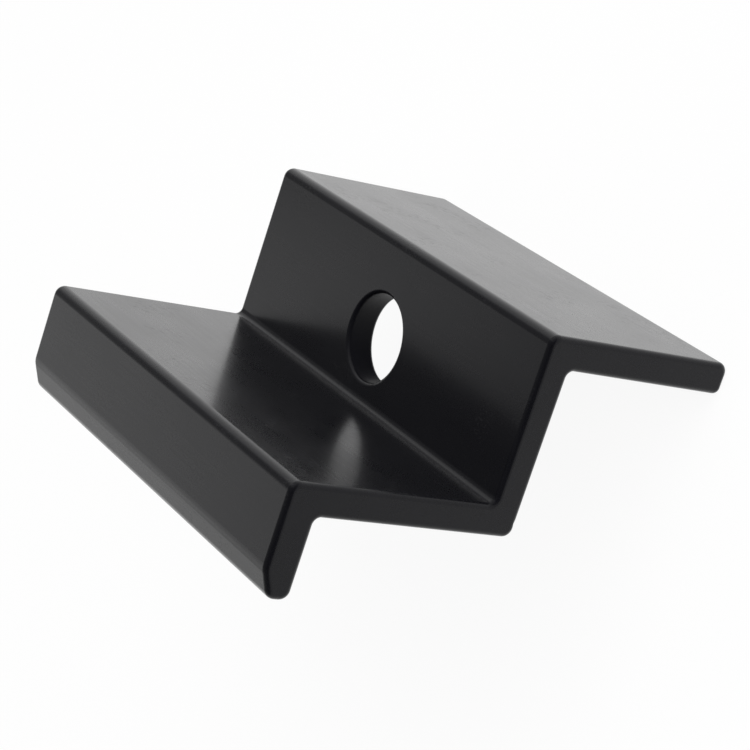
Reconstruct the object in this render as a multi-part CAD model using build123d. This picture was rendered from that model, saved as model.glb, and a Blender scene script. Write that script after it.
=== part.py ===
from build123d import *
import math
import os

# Solar end clamp: one black anodised aluminium extrusion, cut to length and drilled.
# Seen from its end it is a staircase of four legs: the lip that holds down the module's frame, the
# riser beside the frame, the flange that the bolt goes through, and the leg that stands on the rail.
# Sizes are in millimetres. The origin is the middle of the bolt hole, on the face under the bolt's
# head. +Z points up along the bolt, +Y along the extrusion, and +X away from the module.

# Extrusion
clamp_length = 50.0
module_height = 40.0  # from the foot up to the underside of the lip
seat_height = 21.5  # from the foot up to the face under the bolt's head
flange_width = 19.6  # over the riser and the leg
wall = 3.1  # riser, flange and leg
lip_thickness = 3.5
lip_overhang = 8.0  # past the side of the module's frame

# Bevel along the top of the lip
bevel_run = 2.8
bevel_drop = 1.3

# Roundings of the section
outer_radius = 1.0
inner_radius = 0.7
bevel_radius = 2.0
tip_top_radius = 1.2
tip_under_radius = 1.0
foot_outer_radius = 1.0
foot_inner_radius = 0.7

# Bolt hole
hole_diameter = 8.8
hole_rim_radius = 0.4
hole_towards_riser = 0.2  # off the middle of the flange's width
hole_towards_plain_end = 0.6  # off the middle of the clamp's length

# Edges of the two cut ends
end_radius = 0.55
least_section_share = 0.9  # of the smallest rounding of the section that an end's edge turns round

# Small nick in one end's edge, beside the corner of riser and flange
nick_width = 1.0
nick_depth = 0.1
nick_from_frame_side = 1.5
nick_tilt = 30.0  # degrees from the underside towards the end face
nick_reach = 0.8  # how far the V's cut goes on, outward and to both sides

# Shares of a narrow face that each of its two roundings may take
tip_top_share = 0.6
tip_under_share = 0.55
foot_share = 0.45

# Faces that the legs have in common
frame_side = hole_towards_riser - flange_width / 2
riser_bolt_side = frame_side + wall
leg_outer_side = frame_side + flange_width
leg_inner_side = leg_outer_side - wall
flange_underside = -wall
foot = -seat_height
lip_underside = module_height - seat_height
lip_top = lip_underside + lip_thickness
lip_tip = frame_side - lip_overhang
nicked_end = -hole_towards_plain_end - clamp_length / 2


def limited(radius, face, share):
    """A rounding, no larger than its share of the face beside it."""
    return min(radius, face * share)


def section_corners():
    """Each corner of the section as x, z and the radius of its rounding, from the lip to the foot."""
    tip_face = lip_thickness - bevel_drop
    tip_top_rounding = limited(tip_top_radius, tip_face, tip_top_share)
    tip_under_rounding = limited(tip_under_radius, tip_face, tip_under_share)
    foot_outer_rounding = limited(foot_outer_radius, wall, foot_share)
    foot_inner_rounding = limited(foot_inner_radius, wall, foot_share)
    return [
        (riser_bolt_side, lip_top, outer_radius),
        (lip_tip + bevel_run, lip_top, bevel_radius),
        (lip_tip, lip_top - bevel_drop, tip_top_rounding),
        (lip_tip, lip_underside, tip_under_rounding),
        (frame_side, lip_underside, inner_radius),
        (frame_side, flange_underside, outer_radius),
        (leg_inner_side, flange_underside, inner_radius),
        (leg_inner_side, foot, foot_inner_rounding),
        (leg_outer_side, foot, foot_outer_rounding),
        (leg_outer_side, 0, outer_radius),
        (riser_bolt_side, 0, inner_radius),
    ]


def extrusion(corners):
    """The section, drawn at the nicked end and pushed out along the whole length."""
    with BuildPart() as bar:
        with BuildSketch(Plane.XZ.offset(-nicked_end)):
            with BuildLine():
                FilletPolyline(
                    *[(x, z) for x, z, radius in corners],
                    radius=[radius for x, z, radius in corners],
                    close=True,
                )
            make_face()
        extrude(amount=-clamp_length)
    return bar.part


def rounded_ends(bar, corners):
    """The bar with the edges of both cut ends rounded, as they are after tumbling."""
    smallest = min(radius for x, z, radius in corners)
    rounding = limited(end_radius, smallest, least_section_share)
    ends = bar.faces().filter_by(Axis.Y).group_by(Axis.Y)
    edges = ends[0].edges() + ends[-1].edges()
    return fillet(edges, rounding), rounding


def drilled(bar):
    """The bar with the bolt hole through its flange, and both rims of the hole eased."""
    hole_length = wall + 2 * hole_diameter
    hole = Pos(0, 0, flange_underside / 2) * Cylinder(hole_diameter / 2, hole_length)
    bar = bar - hole
    rims = bar.edges().filter_by(GeomType.CIRCLE).filter_by(
        lambda edge: abs(edge.radius - hole_diameter / 2) < hole_rim_radius / 2
    )
    return fillet(rims, hole_rim_radius)


def nicked(bar, rounding):
    """The bar with a shallow V pressed across the lower edge of one end."""
    tilt = math.radians(nick_tilt)
    outward = Vector(0, -math.sin(tilt), -math.cos(tilt))
    on_edge = Vector(
        frame_side + nick_from_frame_side,
        nicked_end + rounding + rounding * outward.Y,
        rounding + flange_underside + rounding * outward.Z,
    )
    across = Plane(origin=on_edge, x_dir=(1, 0, 0), z_dir=Vector(1, 0, 0).cross(outward))
    half_mouth = nick_width / 2 * (nick_depth + nick_reach) / nick_depth
    vee = Polygon((0, -nick_depth), (half_mouth, nick_reach), (-half_mouth, nick_reach), align=None)
    return bar - extrude(across * vee, amount=nick_reach, both=True)


def clamp():
    corners = section_corners()
    bar, rounding = rounded_ends(extrusion(corners), corners)
    return nicked(drilled(bar), rounding)


os.makedirs("parts", exist_ok=True)
export_step(clamp(), "parts/end_clamp.step")
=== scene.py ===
import bpy
from mathutils import Matrix, Vector


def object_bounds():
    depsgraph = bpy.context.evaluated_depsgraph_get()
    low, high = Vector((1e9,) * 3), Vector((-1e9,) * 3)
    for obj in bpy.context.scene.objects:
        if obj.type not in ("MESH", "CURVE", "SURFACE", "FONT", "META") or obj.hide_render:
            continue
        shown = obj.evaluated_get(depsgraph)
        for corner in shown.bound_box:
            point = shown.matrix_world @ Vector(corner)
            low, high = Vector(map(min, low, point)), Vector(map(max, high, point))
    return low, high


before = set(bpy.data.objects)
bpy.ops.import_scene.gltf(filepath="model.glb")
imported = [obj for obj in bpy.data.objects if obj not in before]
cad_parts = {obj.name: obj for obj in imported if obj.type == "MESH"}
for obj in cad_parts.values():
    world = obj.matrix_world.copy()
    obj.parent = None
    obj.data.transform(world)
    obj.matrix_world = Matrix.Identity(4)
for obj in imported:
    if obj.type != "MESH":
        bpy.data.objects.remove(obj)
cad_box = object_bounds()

# Lengths are in metres. +Z points up along the bolt, +Y along the extrusion and +X away from the module.

# Camera, at the photograph's viewing angle
camera_place = Vector((0.053787, -0.190400, 0.139408))
camera_right = Vector((0.306113, -0.504908, -0.807070))
camera_up = Vector((0.922257, 0.367521, 0.119879))
camera_lens = 119.07  # in millimetres, as the sensor
camera_sensor = 36.0
camera_near = 0.005
camera_far = 50.0

# Floor, under the foot of the clamp
floor_height = cad_box[0][2]
floor_side = 6.0
floor_shade = 0.95
floor_white_share = 0.92  # how far it shows as plain white

# Light from all round: its level, and where that changes, as a unit direction's height, depth or side
horizon_level = 0.65
horizon_top = 0.12
ceiling_start = 0.52
ceiling_level = 0.25
front_level = 0.25
front_full = -0.8
front_start = 0.1
side_level = 0.9
side_start = 0.35
side_full = 0.5

# Key lamp, which glossy faces don't mirror
key_way = (0.6, -0.5, 0.62)
key_distance = 1.6
key_size = 2.2
key_power = 42.0

# Small soft lamp behind the clamp, which they mirror
softbox_way = (-0.38, 0.80, 0.49)
softbox_distance = 0.8
softbox_size = 0.35
softbox_power = 0.22

# Black anodised finish
finish_colour = (0.003, 0.003, 0.0042, 1.0)
finish_faded = (0.005, 0.005, 0.0065, 1.0)
finish_roughness = 0.29
finish_ior = 1.5
finish_front_gloss = 0.1
coat_share = 0.5
coat_ior = 1.3
coat_roughness = 0.15

# Lines of the extrusion, which run along it
line_width = 0.0004
line_length = 0.012
line_detail = 2.0
line_roughness = 0.03
line_depth = 0.0000007

# Grain of the anodising
grain_size = 0.00012
grain_detail = 1.0
grain_roughness = 0.05
grain_depth = 0.0000012

# Mottling, longer along the extrusion
mottle_size = 0.004
mottle_stretch = 2
mottle_detail = 3.0
mottle_roughness = 0.05

# Fine scratches from handling, in patches
scratch_width = 0.00016
scratch_length = 0.0018
scratch_detail = 0.0
scratch_turn = (0.75, 0.0, 0.3)  # in radians, away from the extrusion's lines
scratch_start = 0.6
scratch_full = 0.72
scratch_roughness = 0.12
scratch_colour = (0.009, 0.009, 0.0105, 1.0)
scratch_depth = -0.0000022  # a groove, so it goes down
patch_size = 0.006
patch_detail = 1.0
patch_start = 0.5
patch_full = 0.66
end_face_start = 0.3  # how far a face may turn towards the cut ends before its scratches fade
end_face_full = 0.7

# Drilled wall of the bolt hole, which is duller than the rest
bore_radius = 0.0044
bore_rim = 0.0004
wall_thickness = 0.0031
bore_edge_blend = 0.0002
bore_roughness = 0.5
bore_coat_share = 0.0


def add_camera():
    camera = bpy.data.objects.new("camera", bpy.data.cameras.new("camera"))
    bpy.context.scene.collection.objects.link(camera)
    back = camera_right.cross(camera_up)
    turn = Matrix((camera_right, camera_up, back)).transposed().normalized()
    camera.matrix_world = Matrix.Translation(camera_place) @ turn.to_4x4()
    camera.data.sensor_width = camera_sensor
    camera.data.lens = camera_lens
    camera.data.clip_start = camera_near
    camera.data.clip_end = camera_far
    bpy.context.scene.camera = camera


def new_material(name):
    material = bpy.data.materials.new(name)
    material.use_nodes = True
    material.node_tree.nodes.clear()
    return material, material.node_tree


def give(tree, value, socket):
    """Links an output to a socket, or sets the socket to a plain number or colour."""
    if isinstance(value, bpy.types.NodeSocket):
        tree.links.new(value, socket)
    else:
        socket.default_value = value


def combined(tree, operation, first, second=0.0):
    """The result of one math operation on one or two values."""
    node = tree.nodes.new("ShaderNodeMath")
    node.operation = operation
    give(tree, first, node.inputs[0])
    give(tree, second, node.inputs[1])
    return node.outputs[0]


def ramp(tree, value, begin, finish, low, high):
    """A smooth step from low to high while the value goes from begin to finish."""
    step = tree.nodes.new("ShaderNodeMapRange")
    step.interpolation_type = "SMOOTHSTEP"
    step.inputs["From Min"].default_value = begin
    step.inputs["From Max"].default_value = finish
    step.inputs["To Min"].default_value = low
    step.inputs["To Max"].default_value = high
    tree.links.new(value, step.inputs["Value"])
    return step.outputs["Result"]


def separated(tree, vector):
    """The X, Y and Z outputs of a vector."""
    parts = tree.nodes.new("ShaderNodeSeparateXYZ")
    tree.links.new(vector, parts.inputs[0])
    return parts.outputs


def seen_as_background(tree):
    """1 for rays from the camera, a gloss or a glass, and 0 for the light that falls on surfaces."""
    path = tree.nodes.new("ShaderNodeLightPath").outputs
    seen = combined(tree, "MAXIMUM", path["Is Camera Ray"], path["Is Glossy Ray"])
    return combined(tree, "MAXIMUM", seen, path["Is Transmission Ray"])


def floor_material():
    """Pale floor that shows as white but keeps the shadow of what stands on it."""
    material, tree = new_material("pale_floor")
    pale = tree.nodes.new("ShaderNodeBsdfDiffuse")
    pale.inputs["Color"].default_value = (floor_shade, floor_shade, floor_shade, 1.0)
    white = tree.nodes.new("ShaderNodeEmission")
    mix = tree.nodes.new("ShaderNodeMixShader")
    share = combined(tree, "MULTIPLY", seen_as_background(tree), floor_white_share)
    tree.links.new(share, mix.inputs[0])
    tree.links.new(pale.outputs[0], mix.inputs[1])
    tree.links.new(white.outputs[0], mix.inputs[2])
    out = tree.nodes.new("ShaderNodeOutputMaterial")
    tree.links.new(mix.outputs[0], out.inputs["Surface"])
    return material


def add_floor():
    half = floor_side / 2
    mesh = bpy.data.meshes.new("floor")
    corners = [(-half, -half, 0), (half, -half, 0), (half, half, 0), (-half, half, 0)]
    mesh.from_pydata(corners, [], [(0, 1, 2, 3)])
    mesh.materials.append(floor_material())
    floor = bpy.data.objects.new("floor", mesh)
    floor.location.z = floor_height
    bpy.context.scene.collection.objects.link(floor)


def add_world():
    """Bright round the horizon behind the clamp and on its +X side, darker overhead and in front."""
    world = bpy.data.worlds.new("studio")
    bpy.context.scene.world = world
    world.use_nodes = True
    tree = world.node_tree
    way = separated(tree, tree.nodes.new("ShaderNodeTexCoord").outputs["Generated"])
    height = ramp(tree, way["Z"], horizon_top, ceiling_start, horizon_level, ceiling_level)
    side = ramp(tree, way["X"], side_start, side_full, 0.0, side_level)
    depth = ramp(tree, way["Y"], front_full, front_start, front_level, 1.0)
    level = combined(tree, "MULTIPLY", combined(tree, "MAXIMUM", height, side), depth)
    background = tree.nodes["Background"]
    background.inputs["Color"].default_value = (1.0, 1.0, 1.0, 1.0)
    tree.links.new(level, background.inputs["Strength"])


def add_lamp(name, way, distance, size, power, mirrored):
    """A square soft lamp, in a direction from the clamp and aimed at it. Glossy faces mirror it or not."""
    place = Vector(way).normalized() * distance
    lamp = bpy.data.objects.new(name, bpy.data.lights.new(name, "AREA"))
    lamp.data.size = size
    lamp.data.energy = power
    lamp.location = place
    lamp.rotation_mode = "QUATERNION"
    lamp.rotation_quaternion = (-place).to_track_quat("-Z", "Y")
    lamp.visible_glossy = mirrored
    bpy.context.scene.collection.objects.link(lamp)


def noise(tree, place, size, detail, turn=(0.0, 0.0, 0.0)):
    """Even noise between 0 and 1, with spots of one size in each direction, turned as a whole."""
    spread = tree.nodes.new("ShaderNodeMapping")
    spread.vector_type = "TEXTURE"
    spread.inputs["Rotation"].default_value = turn
    spread.inputs["Scale"].default_value = size
    tree.links.new(place, spread.inputs["Vector"])
    node = tree.nodes.new("ShaderNodeTexNoise")
    node.inputs["Scale"].default_value = 1.0
    node.inputs["Detail"].default_value = detail
    tree.links.new(spread.outputs[0], node.inputs["Vector"])
    return node.outputs[0]


def bore_mask(tree, place):
    """1 on the wall of the bolt hole between its rims, and 0 on all other faces."""
    parts = separated(tree, place)
    flat = tree.nodes.new("ShaderNodeCombineXYZ")
    tree.links.new(parts["X"], flat.inputs["X"])
    tree.links.new(parts["Y"], flat.inputs["Y"])
    radius = tree.nodes.new("ShaderNodeVectorMath")
    radius.operation = "LENGTH"
    tree.links.new(flat.outputs[0], radius.inputs[0])
    top = -bore_rim
    bottom = bore_rim - wall_thickness
    inside = ramp(tree, radius.outputs["Value"], bore_radius, bore_radius + bore_edge_blend, 1.0, 0.0)
    below_top = ramp(tree, parts["Z"], top, top + bore_edge_blend, 1.0, 0.0)
    above_bottom = ramp(tree, parts["Z"], bottom - bore_edge_blend, bottom, 0.0, 1.0)
    return combined(tree, "MULTIPLY", combined(tree, "MULTIPLY", inside, below_top), above_bottom)


def off_the_ends(tree):
    """0 on the two cut ends and 1 on the faces along the extrusion."""
    way = separated(tree, tree.nodes.new("ShaderNodeTexCoord").outputs["Normal"])
    along = combined(tree, "ABSOLUTE", way["Y"])
    return ramp(tree, along, end_face_start, end_face_full, 1.0, 0.0)


def scratches(tree, place):
    """1 in fine short scratches, which lie in patches across the extrusion's lines, and 0 between them."""
    size = (scratch_width, scratch_length, scratch_width)
    streaks = noise(tree, place, size, scratch_detail, scratch_turn)
    patches = noise(tree, place, (patch_size, patch_size, patch_size), patch_detail)
    marks = ramp(tree, streaks, scratch_start, scratch_full, 0.0, 1.0)
    inside = ramp(tree, patches, patch_start, patch_full, 0.0, 1.0)
    return combined(tree, "MULTIPLY", combined(tree, "MULTIPLY", marks, inside), off_the_ends(tree))


def recoloured(tree, colour, other, share):
    """A colour that turns into another one by a share between 0 and 1."""
    mix = tree.nodes.new("ShaderNodeMix")
    mix.data_type = "RGBA"
    give(tree, colour, mix.inputs["A"])
    give(tree, other, mix.inputs["B"])
    tree.links.new(share, mix.inputs["Factor"])
    return mix.outputs["Result"]


def swing(tree, value, most):
    """Noise between 0 and 1, turned into a swing to both sides of 0 that stays within the named most."""
    return combined(tree, "MULTIPLY", combined(tree, "SUBTRACT", value, 0.5), 2 * most)


def bumped(tree, height, depth, under=None):
    """A bump as deep as the named depth, on top of another one."""
    bump = tree.nodes.new("ShaderNodeBump")
    bump.inputs["Strength"].default_value = 1.0
    bump.inputs["Distance"].default_value = depth
    tree.links.new(height, bump.inputs["Height"])
    if under is not None:
        tree.links.new(under, bump.inputs["Normal"])
    return bump.outputs["Normal"]


def finish_material():
    """Satin black anodised aluminium, with extrusion lines, grain, mottling and fine scratches."""
    material, tree = new_material("black_anodised")
    place = tree.nodes.new("ShaderNodeTexCoord").outputs["Object"]
    lines = noise(tree, place, (line_width, line_length, line_width), line_detail)
    grain = noise(tree, place, (grain_size, grain_size, grain_size), grain_detail)
    mottle = noise(tree, place, (mottle_size, mottle_size * mottle_stretch, mottle_size), mottle_detail)
    bore = bore_mask(tree, place)
    scratched = scratches(tree, place)

    colour = recoloured(tree, finish_colour, finish_faded, mottle)
    colour = recoloured(tree, colour, scratch_colour, scratched)

    roughness = finish_roughness
    for part in (
        swing(tree, lines, line_roughness),
        swing(tree, grain, grain_roughness),
        swing(tree, mottle, mottle_roughness),
        combined(tree, "MULTIPLY", bore, bore_roughness - finish_roughness),
        combined(tree, "MULTIPLY", scratched, scratch_roughness),
    ):
        roughness = combined(tree, "ADD", part, roughness)

    normal = bumped(tree, lines, line_depth)
    normal = bumped(tree, grain, grain_depth, normal)
    normal = bumped(tree, scratched, scratch_depth, normal)

    shader = tree.nodes.new("ShaderNodeBsdfPrincipled")
    front_gloss = (finish_front_gloss, finish_front_gloss, finish_front_gloss, 1.0)
    coat = ramp(tree, bore, 0.0, 1.0, coat_share, bore_coat_share)
    for name, value in {
        "Base Color": colour,
        "Roughness": roughness,
        "Normal": normal,
        "IOR": finish_ior,
        "Specular Tint": front_gloss,
        "Coat Weight": coat,
        "Coat Roughness": coat_roughness,
        "Coat IOR": coat_ior,
        "Coat Normal": normal,
    }.items():
        give(tree, value, shader.inputs[name])
    out = tree.nodes.new("ShaderNodeOutputMaterial")
    tree.links.new(shader.outputs[0], out.inputs["Surface"])
    return material


def dress_clamp():
    finish = finish_material()
    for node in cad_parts.values():
        for slot in node.material_slots:
            slot.material = finish


bpy.context.scene.view_settings.view_transform = "Standard"
add_camera()
add_floor()
add_world()
add_lamp("key", key_way, key_distance, key_size, key_power, False)
add_lamp("softbox_behind", softbox_way, softbox_distance, softbox_size, softbox_power, True)
dress_clamp()
